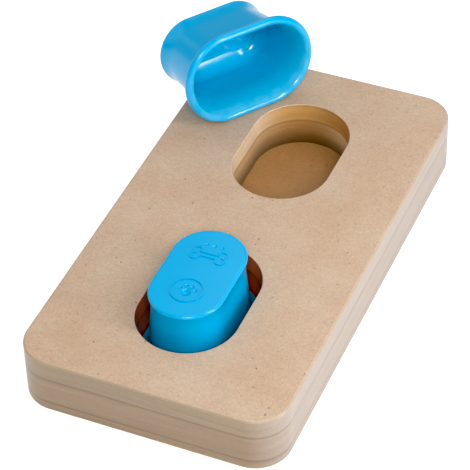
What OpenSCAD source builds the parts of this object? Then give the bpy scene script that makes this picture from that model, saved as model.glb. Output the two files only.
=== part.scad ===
// Dog puzzle feeder: a laminated wood-fibre board with two treat pockets, and two lift-off cups over them.
// Millimetres, +Z up. The origin is the middle of the board's flat underside. X runs across, Y runs along it.

/* [Board] */
// Length of the board
board_len = 225; // [205:1:280]
// Width of the board
board_w = 120; // [105:1:160]
// Radius of the board's upright corners
corner_r = 16; // [8:1:24]
// Thickness of the top layer, which holds the pockets' mouths
top_t = 9.5; // [6:0.5:12]
// Thickness of the middle layer, which holds the pockets' depth
middle_t = 13.5; // [9:0.5:18]
// Thickness of the base layer, which closes the pockets
base_t = 5; // [3:0.5:9]
// Rounding of the board's outer rims
edge_r = 1.2; // [0.4:0.1:2.4]

/* [Pockets] */
// Width of a pocket
pocket_w = 45.2; // [42:0.2:50]
// Length of a pocket
pocket_len = 68.6; // [64:0.2:76]
// Distance from an end of the board to the middle of its pocket
pocket_from_end = 60; // [55:0.5:64]
// Rounding of a pocket's mouth
mouth_r = 0.4; // [0.2:0.1:2]

/* [Cups] */
// Height of a cup from its rim to its closed end
cup_h = 37.2; // [32:0.2:46]
// Width across a cup's closed end
crown_w = 33.3; // [32:0.1:36]
// Width across the outside of a cup at half its height
body_w = 33.1; // [32:0.1:34.6]
// Draft of the wall outside, in degrees
draft = 4.6; // [3:0.2:6]
// Radius of the hollow between the wall and the closed end's edge
lip_r = 25; // [15:1:40]
// Radius of the flare between the wall and the bead, outside
flare_r = 6.5; // [4:0.5:10]
// Radius of the round bead at a cup's rim
bead_r = 2; // [1.7:0.1:2.4]
// Thickness of the wall at half a cup's height
wall = 2.1; // [1.8:0.1:3]
// Draft of the wall inside, in degrees
inner_draft = 2; // [0.6:0.2:3]
// Radius of the flare between the wall and the bead, inside
inner_flare_r = 28; // [22:1:40]
// Thickness of a cup's closed end
crown_t = 2.4; // [1.8:0.1:4]
// Rounding round the closed end, outside
crown_edge_r = 1.1; // [0.6:0.1:2]
// Rounding round the closed end, inside
cove_r = 7; // [3:0.5:10]

/* [Marks on the closed end] */
// Distance from the middle of the closed end to the middle of the bone
bone_offset = 11.5; // [10:0.5:13]
// Distance from the middle of the closed end to the middle of the paw print
paw_offset = 11.5; // [10:0.5:14]
// Height of the raised bone outline
raise_h = 0.4; // [0.2:0.1:0.8]
// Width of the raised line
line_w = 0.7; // [0.5:0.1:1]
// Length of the bone between the middles of its knobs
bone_len = 11.5; // [9:0.5:14]
// Radius of the bone's knobs
knob_r = 2.3; // [1.9:0.1:2.7]
// Distance between the middles of the two knobs at one end
knob_pitch = 3.7; // [3.2:0.1:4.2]
// Width of the bone's shaft
shaft_w = 3; // [2.6:0.1:3.6]
// Width of the raised ring round the paw print, to the middle of its line
ring_d = 14; // [13:0.5:16]
// Width of the paw's pad dimple
pad_d = 4.4; // [3:0.2:5]
// Width of a small dimple
toe_d = 2; // [1.4:0.1:2.4]
// Depth of the pad dimple
pad_depth = 1; // [0.5:0.1:1.4]
// Depth of a small dimple
toe_depth = 0.6; // [0.3:0.1:0.8]
// Gap between the pad dimple and the toe dimples
toe_gap = 0.7; // [0.4:0.1:1]
// Angle at the pad between the paw's first and last toe
toe_spread = 120; // [100:5:140]
// Distance from the ring's middle to the middle of the pad
pad_shift = 1.3; // [0.8:0.1:1.8]
// Distance between the dimples in the row beside the bone
row_pitch = 3.6; // [3:0.2:5]
// Distance from the bone's middle line to that row
row_offset = 6.2; // [5.6:0.2:7]

/* [Feet] */
// Width of an anti-slip foot
foot_d = 12; // [8:0.5:18]
// Height of an anti-slip foot
foot_t = 1.5; // [1:0.1:3]
// Distance from the board's sides to the middle of a foot
foot_inset = 18; // [14:1:26]
// Rounding of a foot's lower edge
foot_edge_r = 0.4; // [0.2:0.1:0.8]

/* [Fits] */
// Gap between a cup's rim and the long walls of its pocket
side_gap = 0.3; // [0.3:0.05:1.2]
// Gap between a cup's rim and the round ends of its pocket
end_gap = 0.6; // [0.5:0.05:2]
// Gap under the rim of the cup that covers a pocket
seat_gap = 0.2; // [0.1:0.1:0.5]
// Gap under the cup that lies on the board
lay_gap = 0.3; // [0.2:0.1:0.6]
// Distance from the board's left side to the middle of the lying cup's rim
lay_from_side = 31.8; // [28:0.1:40]
// Distance from the board's back to the middle of the lying cup's rim
lay_from_back = 38.6; // [34:0.1:46]
// Turn of the lying cup, from +X to the way that its closed end points
lay_turn = 144; // [135:1:152]

/* [Hidden] */
$fn = 96;
through = 1; // how far a cutter runs past the face that it opens
middle_z = base_t;
top_z = base_t + middle_t;
board_h = base_t + middle_t + top_t;
pocket_r = pocket_w / 2;
pocket_straight = pocket_len - pocket_w;
pocket_pitch = board_len - 2 * pocket_from_end;
rim_w = pocket_w - 2 * side_gap;
rim_len = pocket_len - 2 * end_gap;
cup_straight = rim_len - rim_w;

// Cup section: x is the distance from the middle line, y is the height above the rim's face.
bead = [rim_w / 2 - bead_r, bead_r];
crown_edge = [crown_w / 2 - crown_edge_r, cup_h - crown_edge_r];

// Outside, a drafted wall runs from the flare to the hollow under the closed end's edge.
outward = [cos(draft), sin(draft)];
wall_mid = [body_w / 2, cup_h / 2];
flare = arc_beside(wall_mid, outward, flare_r, bead, flare_r + bead_r, 1);
flare_low = bead + bead_r * unit(flare - bead);
flare_high = flare - flare_r * outward;
lip = arc_beside(wall_mid, outward, lip_r, crown_edge, lip_r + crown_edge_r, -1);
lip_low = lip - lip_r * outward;
lip_high = crown_edge + crown_edge_r * unit(lip - crown_edge);

// Inside, a steeper wall runs from the flare to the cove.
inner_outward = [cos(inner_draft), sin(inner_draft)];
inner_mid = wall_mid - [wall, 0];
inner_flare = arc_beside(inner_mid, inner_outward, inner_flare_r, bead, inner_flare_r - bead_r, 1);
inner_flare_low = bead - bead_r * unit(inner_flare - bead);
inner_flare_high = inner_flare - inner_flare_r * inner_outward;
cove_y = cup_h - crown_t - cove_r;
cove = [inner_mid.x - (cove_r + (cove_y - inner_mid.y) * inner_outward.y) / inner_outward.x, cove_y];

// A lying cup touches the board with its bead and with the edge of its closed end.
lean = atan2(bead.x - crown_edge.x, crown_edge.y - bead.y)
    + asin((bead_r - crown_edge_r) / norm(bead - crown_edge));
lying_axis_h = bead.x * cos(lean) + bead.y * sin(lean) + bead_r;

function unit(v) = v / norm(v);
// Centre of an arc that touches a wall line outside, and is the given distance from another centre.
// way is 1 for a centre above that other one, and -1 for one below it.
function arc_beside(on_wall, out, arc_r, other, reach, way) =
    let (down = [out.y, -out.x])
    let (gap = on_wall + arc_r * out - other)
    let (half = gap * down)
    on_wall + arc_r * out - (half + way * sqrt(half * half - gap * gap + reach * reach)) * down;

// Sweeps a half section round a stadium: two round ends and two straight sides
module round_stadium(straight) {
    for (turn = [0, 180])
        rotate([0, 0, turn])
            translate([0, straight / 2, 0])
                rotate_extrude(angle = 180)
                    children();
    for (side = [0, 1])
        mirror([side, 0, 0])
            translate([0, straight / 2, 0])
                rotate([90, 0, 0])
                    linear_extrude(straight)
                        children();
}

// One layer of the board, with its rims rounded above or below
module layer(thick, round_above, round_below) {
    across = board_w / 2 - corner_r;
    along = board_len / 2 - corner_r;
    for (x = [0, 1])
        for (y = [0, 1])
            mirror([x, 0, 0])
                mirror([0, y, 0])
                    translate([across, along, 0])
                        rotate_extrude(angle = 90)
                            layer_section(thick, round_above, round_below);
    for (x = [0, 1])
        mirror([x, 0, 0])
            translate([across, along, 0])
                rotate([90, 0, 0])
                    linear_extrude(2 * along)
                        layer_section(thick, round_above, round_below);
    for (turn = [0, 180])
        rotate([0, 0, turn])
            translate([-across, along, 0])
                rotate([90, 0, 90])
                    linear_extrude(2 * across)
                        layer_section(thick, round_above, round_below);
    translate([-across, -along, 0])
        cube([2 * across, 2 * along, thick]);
}

// Section of a layer outwards from a corner's centre
module layer_section(thick, round_above, round_below) {
    above = round_above ? edge_r : 0;
    below = round_below ? edge_r : 0;
    polygon([
        [0, 0], [corner_r - below, 0], [corner_r, below],
        [corner_r, thick - above], [corner_r - above, thick], [0, thick]
    ]);
    if (round_above)
        translate([corner_r - edge_r, thick - edge_r])
            circle(edge_r);
    if (round_below)
        translate([corner_r - edge_r, edge_r])
            circle(edge_r);
}

module at_pockets() {
    for (end = [-1, 1])
        translate([0, end * pocket_pitch / 2, 0])
            children();
}

// Cutter for a pocket through a layer
module pocket(thick) {
    translate([0, 0, -through])
        round_stadium(pocket_straight)
            square([pocket_r, thick + 2 * through]);
}

// Cutter that rounds a pocket's mouth
module pocket_mouth(thick) {
    round_stadium(pocket_straight)
        difference() {
            translate([0, thick - mouth_r])
                square([pocket_r + mouth_r, mouth_r + through]);
            translate([pocket_r + mouth_r, thick - mouth_r])
                circle(mouth_r);
        }
}

module top_board() {
    color("burlywood")
        translate([0, 0, top_z])
            difference() {
                layer(top_t, true, false);
                at_pockets()
                    pocket(top_t);
                at_pockets()
                    pocket_mouth(top_t);
            }
}

module middle_board() {
    color("tan")
        translate([0, 0, middle_z])
            difference() {
                layer(middle_t, false, false);
                at_pockets()
                    pocket(middle_t);
            }
}

module base_board() {
    color("burlywood")
        layer(base_t, false, true);
}

// Half section of a cup
module cup_section() {
    difference() {
        union() {
            polygon([
                [0, inner_flare_low.y], inner_flare_low, bead, flare_low, flare_high,
                lip_low, lip_high, crown_edge, [crown_edge.x, cup_h], [0, cup_h]
            ]);
            translate(bead)
                circle(bead_r);
            translate(crown_edge)
                circle(crown_edge_r);
        }
        translate(flare)
            circle(flare_r);
        translate(lip)
            circle(lip_r);
        cup_hollow();
    }
}

// Half section of the space inside a cup
module cup_hollow() {
    difference() {
        polygon([
            [0, -through], [inner_flare_low.x, -through], inner_flare_low, inner_flare_high,
            cove + cove_r * inner_outward, [cove.x, cup_h - crown_t], [0, cup_h - crown_t]
        ]);
        translate(inner_flare)
            circle(inner_flare_r);
    }
    translate(cove)
        circle(cove_r);
}

// Round dimple in the closed end
module dimple(width, depth) {
    ball_r = (width * width / 4 + depth * depth) / (2 * depth);
    translate([0, 0, cup_h + ball_r - depth])
        sphere(ball_r);
}

// Flat bone shape, grown or shrunk by its margin
module bone(margin) {
    for (x = [-1, 1])
        for (y = [-1, 1])
            translate([x * bone_len / 2, y * knob_pitch / 2])
                circle(knob_r + margin);
    square([bone_len, shaft_w + 2 * margin], center = true);
}

// Raised outline of a bone
module bone_mark() {
    translate([0, 0, cup_h - raise_h])
        linear_extrude(2 * raise_h)
            difference() {
                bone(0);
                bone(-line_w);
            }
}

// Raised ring round the paw print
module ring_mark() {
    translate([0, 0, cup_h - raise_h])
        rotate_extrude()
            translate([ring_d / 2 - line_w / 2, 0])
                square([line_w, 2 * raise_h]);
}

// Paw print of dimples: one pad, and four toes spread evenly round its front
module paw_mark() {
    reach = pad_d / 2 + toe_gap + toe_d / 2;
    translate([0, -pad_shift, 0]) {
        dimple(pad_d, pad_depth);
        for (toe = [0:3])
            rotate([0, 0, toe_spread * (toe / 3 - 1 / 2)])
                translate([0, reach, 0])
                    dimple(toe_d, toe_depth);
    }
}

// Row of small dimples beside the bone
module dimple_row() {
    for (x = [-1, 0, 1])
        translate([x * row_pitch, row_offset, 0])
            dimple(toe_d, toe_depth);
}

// A cup with its rim's face at height 0 and its closed end up
module cup() {
    difference() {
        union() {
            round_stadium(cup_straight)
                cup_section();
            translate([0, bone_offset, 0])
                bone_mark();
            translate([0, -paw_offset, 0])
                ring_mark();
        }
        translate([0, bone_offset, 0])
            dimple_row();
        translate([0, -paw_offset, 0])
            paw_mark();
    }
}

module front_cup() {
    color("deepskyblue")
        translate([0, -pocket_pitch / 2, base_t + seat_gap])
            cup();
}

module rear_cup() {
    color("deepskyblue")
        translate([
            lay_from_side - board_w / 2,
            board_len / 2 - lay_from_back,
            board_h + lay_gap + lying_axis_h
        ])
            rotate([0, 90 + lean, lay_turn])
                cup();
}

module foot(number) {
    x = number % 2 == 1 ? -1 : 1;
    y = number <= 2 ? -1 : 1;
    color("dimgray")
        translate([x * (board_w / 2 - foot_inset), y * (board_len / 2 - foot_inset), -foot_t])
            rotate_extrude() {
                polygon([
                    [0, 0], [foot_d / 2 - foot_edge_r, 0], [foot_d / 2, foot_edge_r],
                    [foot_d / 2, foot_t], [0, foot_t]
                ]);
                translate([foot_d / 2 - foot_edge_r, foot_edge_r])
                    circle(foot_edge_r);
            }
}

top_board();
middle_board();
base_board();
front_cup();
rear_cup();
foot(1);  // foot_1
foot(2);  // foot_2
foot(3);  // foot_3
foot(4);  // foot_4
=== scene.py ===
"""Looks for the dog puzzle feeder: a laminated MDF board with two treat pockets, and two blue cups over them.

Metres, +Z up, the origin in the middle of the board's underside. X runs across the board and Y along it.
"""
import math

import bpy
from mathutils import Matrix, Vector


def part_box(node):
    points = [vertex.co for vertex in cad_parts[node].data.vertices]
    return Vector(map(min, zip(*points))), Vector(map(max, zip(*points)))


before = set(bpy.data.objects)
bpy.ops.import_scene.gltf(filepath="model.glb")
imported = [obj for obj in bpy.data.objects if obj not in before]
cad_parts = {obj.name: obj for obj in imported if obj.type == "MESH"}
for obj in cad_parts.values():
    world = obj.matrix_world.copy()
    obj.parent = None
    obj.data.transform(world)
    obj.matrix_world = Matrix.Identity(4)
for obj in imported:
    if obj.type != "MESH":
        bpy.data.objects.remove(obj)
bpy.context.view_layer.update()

MM = 0.001
BASE_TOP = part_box("base_board")[1].z
MIDDLE_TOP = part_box("middle_board")[1].z
BOARD_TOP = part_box("top_board")[1].z
FLOOR_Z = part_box("foot_1")[0].z
# A cup's rim fills its pocket, so both pockets lie within these distances of the board's middle
POCKETS_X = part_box("front_cup")[1].x + 4 * MM
POCKETS_Y = -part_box("front_cup")[0].y + 4 * MM

# The way each cup's hollow faces. The rear cup lies on its side, turned 144 degrees.
REAR_CUP_FACES = math.radians(144 - 180)
HOLLOW_FACES = {
    "front_cup": (0.0, 0.0, -1.0),
    "rear_cup": (math.cos(REAR_CUP_FACES), math.sin(REAR_CUP_FACES), 0.0),
}

# Board colours. A face has two tones. A cut edge has one colour for each layer, from the base up.
FACE = ("#BD9F85", "#C2AA92")
# The pocket floor's tones, darker than the face's: painted shade
POCKET_FLOOR_PAINTED_SHADE = ("#A67B4E", "#AE8557")
BARK = "#5E3F28"
# Paler round between face and edge: partly sanding, partly a painted highlight
SANDED_AND_HIGHLIGHT = "#E9D8C0"
SAWN = ("#8A7154", "#8D7459", "#8F795E")
# Painted light: the long right side, paler and greyer where the key light falls
RIGHT_SIDE_PAINTED_LIGHT = ("#927F6E", "#958374", "#98887A")
# Pocket walls, in lit and shaded copies of one colour. Painted light: the left wall, which faces the key
# light
LEFT_WALL_PAINTED_LIGHT = ("#BD9A70", "#D2B087", "#E8CFB0")
# Painted light and shade: the right wall, darker in its top layer and paler in its middle one
RIGHT_WALL_PAINTED_SHADING = ("#C09566", "#E8CDA6", "#C28C50")
# Painted shade: the walls at the pocket's ends
POCKET_ENDS_PAINTED_SHADE = ("#A57C4A", "#AE8452", "#C0955C")
# Painted shade: the front pocket's walls, dark red-brown like the gap beside its cup
FRONT_POCKET_PAINTED_SHADE = ("#914A1E", "#BA5D33", "#D16B3F")
# The pocket ends that get painted shade face along the board, 18 degrees off its middle line
SHADED_ENDS_DIRECTION = (0.31, -0.95, 0.0)

# Cup colours
OUTSIDE = ("#009FD4", "#00A4DA")
# The hollow's tone, set apart from the outside's to stand in for the light inside it: painted light
HOLLOW_PAINTED_LIGHT = "#00A8D3"
# Painted sheen on the rim, in pale patches
RIM_PAINTED_SHEEN = "#7CC2E4"

# Nearly all values of a noise texture lie between these two
NOISE_LOW, NOISE_HIGH = 0.3, 0.7

# Camera: a long lens, high and to the front right
CAMERA_AT = Vector((0.30076, -0.68348, 0.69190))
CAMERA_AZIMUTH = math.radians(24.163)
CAMERA_ELEVATION = math.radians(41.979)
CAMERA_ROLL = math.radians(-1.796)
CAMERA_LENS = 173.09
SENSOR = 36.0

# Light levels: 1 is as bright as white paper in the open
AIR = 0.38
PAPER_GLOW = 0.68
BLACK = 0.022  # this much of the darkest tones goes to full black
# Each light's place, its width and length, and its level
LIGHTS = {
    # Behind, for the sheen on the cups
    "overhead": ((-0.02, 0.80, 1.24), (0.90, 0.80), 1.4),
    # A strip close on the right, which whitens the board's long side
    "key": ((0.42, -0.05, 0.24), (0.05, 0.60), 20.5),
    # Large and faint, for the shaded sides
    "left": ((-1.0, 0.1, 0.9), (1.2, 1.2), 0.55),
    # Small, beside the camera, so that the gaps and hollows aren't black
    "fill": ((0.42, -0.95, 0.95), (0.35, 0.35), 25.0),
}
LIGHTS_AIM_AT = Vector((0, 0, 0.03))
FLOOR_HALF = 4.0


def linear(code):
    """Turns an sRGB hex code to linear RGBA."""
    parts = [int(code[i:i + 2], 16) / 255 for i in (1, 3, 5)]
    return [c / 12.92 if c <= 0.04045 else ((c + 0.055) / 1.055) ** 2.4 for c in parts] + [1.0]


def add(tree, kind, inputs, **settings):
    """Adds a node. inputs maps a socket's name or number to a value or to the output that feeds it.

    A Map Range has its value at 0, the range it comes from at 1 and 2, and the one it goes to at 3 and 4.
    A Mix has its factor at 0 and its two colours at 6 and 7.
    """
    node = tree.nodes.new(kind)
    for name, value in settings.items():
        setattr(node, name, value)
    for socket, value in inputs.items():
        if isinstance(value, bpy.types.NodeSocket):
            tree.links.new(value, node.inputs[socket])
        else:
            node.inputs[socket].default_value = value
    return node


def new_material(name):
    """An empty node material, and its tree."""
    material = bpy.data.materials.new(name)
    material.use_nodes = True
    material.node_tree.nodes.clear()
    return material, material.node_tree


def pressed_face(tree, point, tones):
    """MDF's hot-pressed face: soft clouds of 28 mm, tufts of 5 mm, and fibres.

    The fibres are finer on a real board. Here they are 1 mm long, so that they show.
    Returns the face's colour and the fibres.
    """
    cloud = add(tree, "ShaderNodeTexNoise", {
        "Vector": point, "Scale": 1 / (28 * MM), "Detail": 2.0,
    }).outputs[0]
    tuft = add(tree, "ShaderNodeTexNoise", {
        "Vector": point, "Scale": 1 / (5 * MM), "Detail": 2.0, "Distortion": 1.5,
    }).outputs[0]
    fibre = add(tree, "ShaderNodeTexNoise", {
        "Vector": point, "Scale": 1 / (1.0 * MM), "Detail": 3.0, "Roughness": 0.75, "Distortion": 0.8,
    }).outputs[0]
    mixed = add(tree, "ShaderNodeMapRange", {0: cloud, 1: NOISE_LOW, 2: NOISE_HIGH}).outputs[0]
    wood = add(tree, "ShaderNodeMix", {
        0: mixed, 6: linear(tones[0]), 7: linear(tones[1]),
    }, data_type="RGBA").outputs[2]
    soft = add(tree, "ShaderNodeMapRange", {
        0: tuft, 1: NOISE_LOW, 2: NOISE_HIGH, 3: 0.96, 4: 1.04,
    }).outputs[0]
    crisp = add(tree, "ShaderNodeMapRange", {
        0: fibre, 1: NOISE_LOW, 2: NOISE_HIGH, 3: 0.83, 4: 1.13,
    }).outputs[0]
    shade = add(tree, "ShaderNodeMath", {0: soft, 1: crisp}, operation="MULTIPLY").outputs[0]
    return add(tree, "ShaderNodeVectorMath", {0: wood, "Scale": shade}, operation="SCALE").outputs[0], fibre


def bark_flecks(tree, point, colour):
    """Specks of bark up to 1 mm across, about one to every 3.3 mm, spread through the board."""
    spacing, largest, stirred = 3.3 * MM, 0.52 * MM, 0.9 * MM
    stir = add(tree, "ShaderNodeTexNoise", {
        "Vector": point, "Scale": 1 / stirred, "Detail": 1.0,
    }).outputs["Color"]
    moved = add(tree, "ShaderNodeVectorMath", {
        0: stir, 1: (stirred, stirred, stirred), 2: point,
    }, operation="MULTIPLY_ADD").outputs[0]
    cell = add(tree, "ShaderNodeTexVoronoi", {"Vector": moved, "Scale": 1 / spacing}).outputs
    lot = add(tree, "ShaderNodeSeparateColor", {0: cell["Color"]}).outputs
    # Three cells in ten stay empty
    radius = add(tree, "ShaderNodeMapRange", {
        0: lot["Red"], 1: 0.3, 2: 1.0, 3: 0.0, 4: largest / spacing,
    }).outputs[0]
    outside = add(tree, "ShaderNodeMath", {0: cell["Distance"], 1: radius}, operation="SUBTRACT").outputs[0]
    shade = add(tree, "ShaderNodeMapRange", {
        0: outside, 1: -0.25 * MM / spacing, 2: 0.05 * MM / spacing, 3: 0.8, 4: 0.0,
    }).outputs[0]
    return add(tree, "ShaderNodeMix", {0: shade, 6: colour, 7: linear(BARK)}, data_type="RGBA").outputs[2]


def layer_colours(tree, height, colours, glue=0.65):
    """One colour for each of the board's three layers, a little darker at its hard faces.

    glue is how bright the line between two layers is, set against the base layer.
    """
    ramp = add(tree, "ShaderNodeValToRGB", {0: height})
    stops = ramp.color_ramp.elements
    crust, line = 1.4 * MM / BOARD_TOP, 0.7 * MM / BOARD_TOP
    hard = 0.95
    edges = [0.0, BASE_TOP / BOARD_TOP, MIDDLE_TOP / BOARD_TOP, 1.0]
    wanted = []
    for low, high, code in zip(edges, edges[1:], colours):
        faces = [(low + line, hard), (low + crust, 1.0), (high - crust, 1.0), (high - line, hard)]
        for place, shade in faces:
            wanted.append((place, [part * shade for part in linear(code)[:3]] + [1.0]))
    for place in edges[1:3]:
        wanted.append((place, [part * glue for part in linear(colours[0])[:3]] + [1.0]))
    wanted.sort()
    stops[1].position, stops[1].color = wanted[-1]
    stops[0].position, stops[0].color = wanted[0]
    for place, colour in wanted[1:-1]:
        stops.new(place).color = colour
    return ramp.outputs[0]


def cutter_streaks(tree, point, fibre):
    """Streaks that a saw or a router leaves along an edge, 25 times as long as high.

    Real ones are finer. Here they are 0.8 and 2.6 mm high, so that they show.
    Returns the edge's shade and the fine streaks.
    """
    stretched = add(tree, "ShaderNodeVectorMath", {
        0: point, 1: (1 / 25, 1 / 25, 1.0),
    }, operation="MULTIPLY").outputs[0]
    streak = add(tree, "ShaderNodeTexNoise", {
        "Vector": stretched, "Scale": 1 / (0.8 * MM), "Detail": 3.0, "Roughness": 0.6,
    }).outputs[0]
    broad = add(tree, "ShaderNodeTexNoise", {
        "Vector": stretched, "Scale": 1 / (2.6 * MM), "Detail": 2.0, "Distortion": 0.4,
    }).outputs[0]
    fine = add(tree, "ShaderNodeMapRange", {
        0: streak, 1: NOISE_LOW, 2: NOISE_HIGH, 3: 0.92, 4: 1.08,
    }).outputs[0]
    wide = add(tree, "ShaderNodeMapRange", {
        0: broad, 1: NOISE_LOW, 2: NOISE_HIGH, 3: 0.92, 4: 1.08,
    }).outputs[0]
    shade = add(tree, "ShaderNodeMath", {0: fine, 1: wide}, operation="MULTIPLY").outputs[0]
    torn = add(tree, "ShaderNodeMapRange", {
        0: fibre, 1: NOISE_LOW, 2: NOISE_HIGH, 3: 0.93, 4: 1.07,
    }).outputs[0]
    return add(tree, "ShaderNodeMath", {0: shade, 1: torn}, operation="MULTIPLY").outputs[0], streak


def outer_edges(tree, height, rightward):
    """The board's sawn edges. The long side on the right, which faces the key light, is painted paler and
    greyer: painted light.
    """
    sawn = layer_colours(tree, height, SAWN)
    # Painted light on the long right side, which faces the key light
    right_side_painted_light = layer_colours(tree, height, RIGHT_SIDE_PAINTED_LIGHT)
    is_right_side = add(tree, "ShaderNodeMapRange", {0: rightward, 1: 0.1, 2: 0.85}).outputs[0]
    return add(tree, "ShaderNodeMix", {0: is_right_side, 6: sawn, 7: right_side_painted_light}, data_type="RGBA").outputs[2]


def pocket_walls(tree, at, height, normal, rightward):
    """The pockets' walls, cut by the router, with painted light and shade. The front pocket's are a dark
    red-brown:
    painted shade.

    The rear pocket's are painted lighter on the left wall, which faces the key light, painted light and shade
    on the right, painted shade at the ends, and painted darker towards the floor: painted shade.
    """
    # Painted light on the left wall, which faces the key light, and painted light and shade on the right wall
    left_wall_painted_light = layer_colours(tree, height, LEFT_WALL_PAINTED_LIGHT, glue=0.85)
    painted_light = layer_colours(tree, height, RIGHT_WALL_PAINTED_SHADING, glue=0.85)
    ends_painted_shade = layer_colours(tree, height, POCKET_ENDS_PAINTED_SHADE, glue=0.85)
    front_pocket_painted_shade = layer_colours(tree, height, FRONT_POCKET_PAINTED_SHADE, glue=0.95)
    on_right = add(tree, "ShaderNodeMapRange", {0: rightward, 1: 1.0, 2: -0.3, 3: 0.0, 4: 1.0}).outputs[0]
    colour = add(tree, "ShaderNodeMix", {0: on_right, 6: left_wall_painted_light, 7: painted_light}, data_type="RGBA").outputs[2]
    # Painted shade on the walls at the pocket's ends
    endward = add(tree, "ShaderNodeVectorMath", {
        0: normal, 1: SHADED_ENDS_DIRECTION,
    }, operation="DOT_PRODUCT").outputs["Value"]
    at_end = add(tree, "ShaderNodeMath", {0: endward}, operation="ABSOLUTE").outputs[0]
    turned = add(tree, "ShaderNodeMapRange", {0: at_end, 1: 0.4, 2: 1.0}).outputs[0]
    colour = add(tree, "ShaderNodeMix", {0: turned, 6: colour, 7: ends_painted_shade}, data_type="RGBA").outputs[2]
    # Painted shade, darker towards the pocket's floor
    painted_depth_shade = add(tree, "ShaderNodeMapRange", {
        0: at["Z"], 1: BASE_TOP, 2: MIDDLE_TOP, 3: 0.27, 4: 1.0,
    }, interpolation_type="SMOOTHSTEP").outputs[0]
    colour = add(tree, "ShaderNodeVectorMath", {0: colour, "Scale": painted_depth_shade}, operation="SCALE").outputs[0]
    # The front pocket's walls take a dark red-brown: painted shade
    in_front = add(tree, "ShaderNodeMath", {0: at["Y"], 1: 0.0}, operation="LESS_THAN").outputs[0]
    return add(tree, "ShaderNodeMix", {0: in_front, 6: colour, 7: front_pocket_painted_shade}, data_type="RGBA").outputs[2]


def fibreboard():
    """MDF: pressed faces with fibres and flecks, and cut edges that show its layers under a clear seal."""
    material, tree = new_material("MDF_pressed_sawn_sealed")
    place = add(tree, "ShaderNodeTexCoord", {})
    point, normal = place.outputs["Object"], place.outputs["Normal"]
    at = add(tree, "ShaderNodeSeparateXYZ", {0: point}).outputs
    facing = add(tree, "ShaderNodeSeparateXYZ", {0: normal}).outputs
    upright = add(tree, "ShaderNodeMath", {0: facing["Z"]}, operation="ABSOLUTE").outputs[0]
    is_face = add(tree, "ShaderNodeMapRange", {
        0: upright, 1: 0.66, 2: 0.97,
    }, interpolation_type="SMOOTHSTEP").outputs[0]
    height = add(tree, "ShaderNodeMath", {0: at["Z"], 1: BOARD_TOP}, operation="DIVIDE").outputs[0]
    across = add(tree, "ShaderNodeMath", {0: at["X"]}, operation="ABSOLUTE").outputs[0]
    along = add(tree, "ShaderNodeMath", {0: at["Y"]}, operation="ABSOLUTE").outputs[0]
    near_x = add(tree, "ShaderNodeMath", {0: across, 1: POCKETS_X}, operation="LESS_THAN").outputs[0]
    near_y = add(tree, "ShaderNodeMath", {0: along, 1: POCKETS_Y}, operation="LESS_THAN").outputs[0]
    inside = add(tree, "ShaderNodeMath", {0: near_x, 1: near_y}, operation="MULTIPLY").outputs[0]
    is_deep = add(tree, "ShaderNodeMath", {
        0: at["Z"], 1: MIDDLE_TOP - 1 * MM,
    }, operation="LESS_THAN").outputs[0]
    is_floor = add(tree, "ShaderNodeMath", {0: inside, 1: is_deep}, operation="MULTIPLY").outputs[0]

    face, fibre = pressed_face(tree, point, FACE)
    # The pocket floor is darker: painted shade
    floor, _ = pressed_face(tree, point, POCKET_FLOOR_PAINTED_SHADE)
    face = add(tree, "ShaderNodeMix", {0: is_floor, 6: face, 7: floor}, data_type="RGBA").outputs[2]
    face = bark_flecks(tree, point, face)

    shade, streak = cutter_streaks(tree, point, fibre)
    outer = outer_edges(tree, height, facing["X"])
    walls = pocket_walls(tree, at, height, normal, facing["X"])
    edge = add(tree, "ShaderNodeMix", {0: inside, 6: outer, 7: walls}, data_type="RGBA").outputs[2]
    edge = add(tree, "ShaderNodeVectorMath", {0: edge, "Scale": shade}, operation="SCALE").outputs[0]

    colour = add(tree, "ShaderNodeMix", {0: is_face, 6: edge, 7: face}, data_type="RGBA").outputs[2]
    # The round between face and edge is paler: partly from sanding, partly a painted highlight
    round_off = add(tree, "ShaderNodeMath", {0: upright, 1: 0.5}, operation="PINGPONG").outputs[0]
    sanded_and_highlight = add(tree, "ShaderNodeMapRange", {0: round_off, 1: 0.02, 2: 0.35, 3: 0.0, 4: 0.2}).outputs[0]
    colour = add(tree, "ShaderNodeMix", {
        0: sanded_and_highlight, 6: colour, 7: linear(SANDED_AND_HIGHLIGHT),
    }, data_type="RGBA").outputs[2]
    grain = add(tree, "ShaderNodeMix", {0: is_face, 2: streak, 3: fibre}, data_type="FLOAT").outputs[0]
    # The seal is on the cut edges alone, which drink it and turn slightly glossy
    seal = add(tree, "ShaderNodeMapRange", {0: is_face, 3: 0.62, 4: 0.0}).outputs[0]
    bump = add(tree, "ShaderNodeBump", {"Height": grain, "Distance": 0.05 * MM, "Strength": 0.6}).outputs[0]
    shader = add(tree, "ShaderNodeBsdfPrincipled", {
        "Base Color": colour, "Roughness": 0.5, "Specular IOR Level": 0.45, "Normal": bump,
        "Coat Weight": seal, "Coat Roughness": 0.35,
    })
    add(tree, "ShaderNodeOutputMaterial", {"Surface": shader.outputs[0]})
    return material


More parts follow.
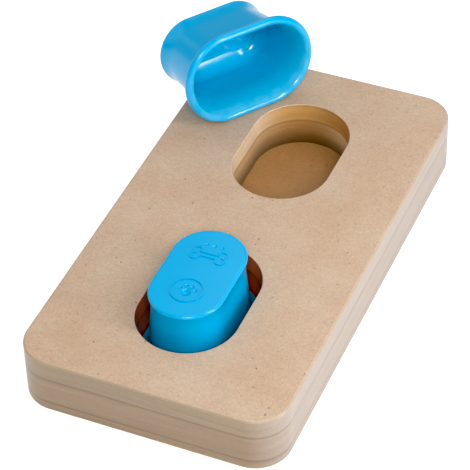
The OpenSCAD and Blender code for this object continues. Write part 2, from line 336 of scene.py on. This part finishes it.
def cup_plastic(cup):
    """Polypropylene, injection moulded: satin outside, and glossy in the hollow and on the rim.

    The satin comes from an eroded mould, and the gloss from a polished core. The satin's grain is finer on a
    real cup. Here it is 0.7 mm wide, so that it shows.
    """
    material, tree = new_material("Polypropylene_moulded_" + cup)
    place = add(tree, "ShaderNodeTexCoord", {})
    point = place.outputs["Object"]
    low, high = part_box(cup)
    from_middle = add(tree, "ShaderNodeVectorMath", {
        0: point, 1: (low + high) / 2,
    }, operation="SUBTRACT").outputs[0]
    # Walls that look back to the cup's middle are those of the hollow
    outward = add(tree, "ShaderNodeVectorMath", {
        0: from_middle, 1: place.outputs["Normal"],
    }, operation="DOT_PRODUCT").outputs["Value"]
    hollow = add(tree, "ShaderNodeMapRange", {0: outward, 1: 3 * MM, 2: -3 * MM}).outputs[0]
    ahead = add(tree, "ShaderNodeVectorMath", {
        0: from_middle, 1: HOLLOW_FACES[cup],
    }, operation="DOT_PRODUCT").outputs["Value"]
    rim = add(tree, "ShaderNodeMapRange", {0: ahead, 1: 13 * MM, 2: 15.5 * MM}).outputs[0]
    polished = add(tree, "ShaderNodeMath", {0: hollow, 1: rim}, operation="MAXIMUM").outputs[0]
    flow = add(tree, "ShaderNodeTexNoise", {
        "Vector": point, "Scale": 1 / (14 * MM), "Detail": 2.0,
    }).outputs[0]
    satin = add(tree, "ShaderNodeTexNoise", {
        "Vector": point, "Scale": 1 / (0.7 * MM), "Detail": 2.0,
    }).outputs[0]
    colour = add(tree, "ShaderNodeMix", {
        0: flow, 6: linear(OUTSIDE[0]), 7: linear(OUTSIDE[1]),
    }, data_type="RGBA").outputs[2]
    # The hollow takes its own tone: painted light
    colour = add(tree, "ShaderNodeMix", {
        0: hollow, 6: colour, 7: linear(HOLLOW_PAINTED_LIGHT),
    }, data_type="RGBA").outputs[2]
    # The rim is painted a little paler, in patches of 6 mm: a painted sheen
    patch = add(tree, "ShaderNodeTexNoise", {
        "Vector": point, "Scale": 1 / (6 * MM), "Detail": 4.0,
    }).outputs[0]
    painted_light = add(tree, "ShaderNodeMapRange", {0: patch, 1: 0.35, 2: 0.65, 3: 0.05, 4: 0.26}).outputs[0]
    rim_painted_sheen = add(tree, "ShaderNodeMath", {0: painted_light, 1: rim}, operation="MULTIPLY").outputs[0]
    # Painted sheen on the rim
    colour = add(tree, "ShaderNodeMix", {
        0: rim_painted_sheen, 6: colour, 7: linear(RIM_PAINTED_SHEEN),
    }, data_type="RGBA").outputs[2]
    smooth = add(tree, "ShaderNodeMapRange", {0: polished, 3: 0.2, 4: 0.12}).outputs[0]
    uneven = add(tree, "ShaderNodeMapRange", {
        0: satin, 1: NOISE_LOW, 2: NOISE_HIGH, 3: 0.9, 4: 1.25,
    }).outputs[0]
    roughness = add(tree, "ShaderNodeMath", {0: smooth, 1: uneven}, operation="MULTIPLY").outputs[0]
    bump = add(tree, "ShaderNodeBump", {"Height": satin, "Distance": 0.012 * MM, "Strength": 0.5}).outputs[0]
    shader = add(tree, "ShaderNodeBsdfPrincipled", {
        "Base Color": colour, "Roughness": roughness, "IOR": 1.49, "Normal": bump, "Specular IOR Level": 0.43,
    })
    add(tree, "ShaderNodeOutputMaterial", {"Surface": shader.outputs[0]})
    return material


def foot_rubber():
    """EVA foam rubber, die cut: matt, with closed cells that show as fine pits.

    Real cells are smaller. Here they are 0.5 mm wide, so that they show.
    """
    material, tree = new_material("EVA_rubber_die_cut")
    point = add(tree, "ShaderNodeTexCoord", {}).outputs["Object"]
    cell = add(tree, "ShaderNodeTexVoronoi", {"Vector": point, "Scale": 1 / (0.5 * MM)}).outputs["Distance"]
    colour = add(tree, "ShaderNodeMix", {
        0: cell, 6: linear("#2E2E30"), 7: linear("#434345"),
    }, data_type="RGBA").outputs[2]
    bump = add(tree, "ShaderNodeBump", {"Height": cell, "Distance": 0.08 * MM, "Strength": 0.6}).outputs[0]
    shader = add(tree, "ShaderNodeBsdfPrincipled", {"Base Color": colour, "Roughness": 0.8, "Normal": bump})
    add(tree, "ShaderNodeOutputMaterial", {"Surface": shader.outputs[0]})
    return material


def dress(node, material):
    """Gives a CAD node its finish."""
    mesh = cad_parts[node].data
    mesh.materials.clear()
    mesh.materials.append(material)


def make_camera():
    """A camera of the set place, direction and roll."""
    back = Vector((
        math.sin(CAMERA_AZIMUTH) * math.cos(CAMERA_ELEVATION),
        -math.cos(CAMERA_AZIMUTH) * math.cos(CAMERA_ELEVATION),
        math.sin(CAMERA_ELEVATION),
    ))
    right = Vector((0, 0, 1)).cross(back).normalized()
    turned = Matrix((right, back.cross(right), back)).transposed() @ Matrix.Rotation(CAMERA_ROLL, 3, "Z")
    data = bpy.data.cameras.new("camera")
    data.lens = CAMERA_LENS
    data.sensor_width = SENSOR
    camera = bpy.data.objects.new("camera", data)
    camera.matrix_world = Matrix.Translation(CAMERA_AT) @ turned.to_4x4()
    bpy.context.scene.collection.objects.link(camera)
    bpy.context.scene.camera = camera


def softbox(name, at, size, level):
    """A rectangular studio light of a given brightness, at a place, turned to the feeder."""
    data = bpy.data.lights.new(name, "AREA")
    data.shape = "RECTANGLE"
    data.size, data.size_y = size
    data.energy = level * math.pi * size[0] * size[1]
    light = bpy.data.objects.new(name, data)
    light.location = at
    light.rotation_euler = (Vector(at) - LIGHTS_AIM_AT).to_track_quat("Z", "Y").to_euler()
    bpy.context.scene.collection.objects.link(light)


def white_floor():
    """A plain floor of white paper. It glows, so that the shadows on it stay faint."""
    mesh = bpy.data.meshes.new("floor")
    half = FLOOR_HALF
    corners = [(-half, -half), (half, -half), (half, half), (-half, half)]
    mesh.from_pydata([(x, y, FLOOR_Z) for x, y in corners], [], [(0, 1, 2, 3)])
    floor = bpy.data.objects.new("floor", mesh)
    bpy.context.scene.collection.objects.link(floor)
    material, tree = new_material("Studio_paper_white")
    shader = add(tree, "ShaderNodeBsdfPrincipled", {
        "Base Color": linear("#C8C8C8"), "Roughness": 1.0, "Specular IOR Level": 0.0,
        "Emission Color": linear("#FFFFFF"), "Emission Strength": PAPER_GLOW,
    })
    add(tree, "ShaderNodeOutputMaterial", {"Surface": shader.outputs[0]})
    mesh.materials.append(material)


def studio():
    """White light from all round and from the softboxes, and the tones of the render."""
    world = bpy.data.worlds.new("studio_air")
    world.use_nodes = True
    world.node_tree.nodes["Background"].inputs["Color"].default_value = (1, 1, 1, 1)
    world.node_tree.nodes["Background"].inputs["Strength"].default_value = AIR
    bpy.context.scene.world = world
    for name, (at, size, level) in LIGHTS.items():
        softbox(name, at, size, level)
    view = bpy.context.scene.view_settings
    view.view_transform = "Standard"
    view.use_curve_mapping = True
    view.curve_mapping.black_level = (BLACK, BLACK, BLACK)
    view.curve_mapping.update()


make_camera()
mdf = fibreboard()
for board in ("top_board", "middle_board", "base_board"):
    dress(board, mdf)
for cup in HOLLOW_FACES:
    dress(cup, cup_plastic(cup))
rubber = foot_rubber()
for number in (1, 2, 3, 4):
    dress(f"foot_{number}", rubber)
white_floor()
studio()
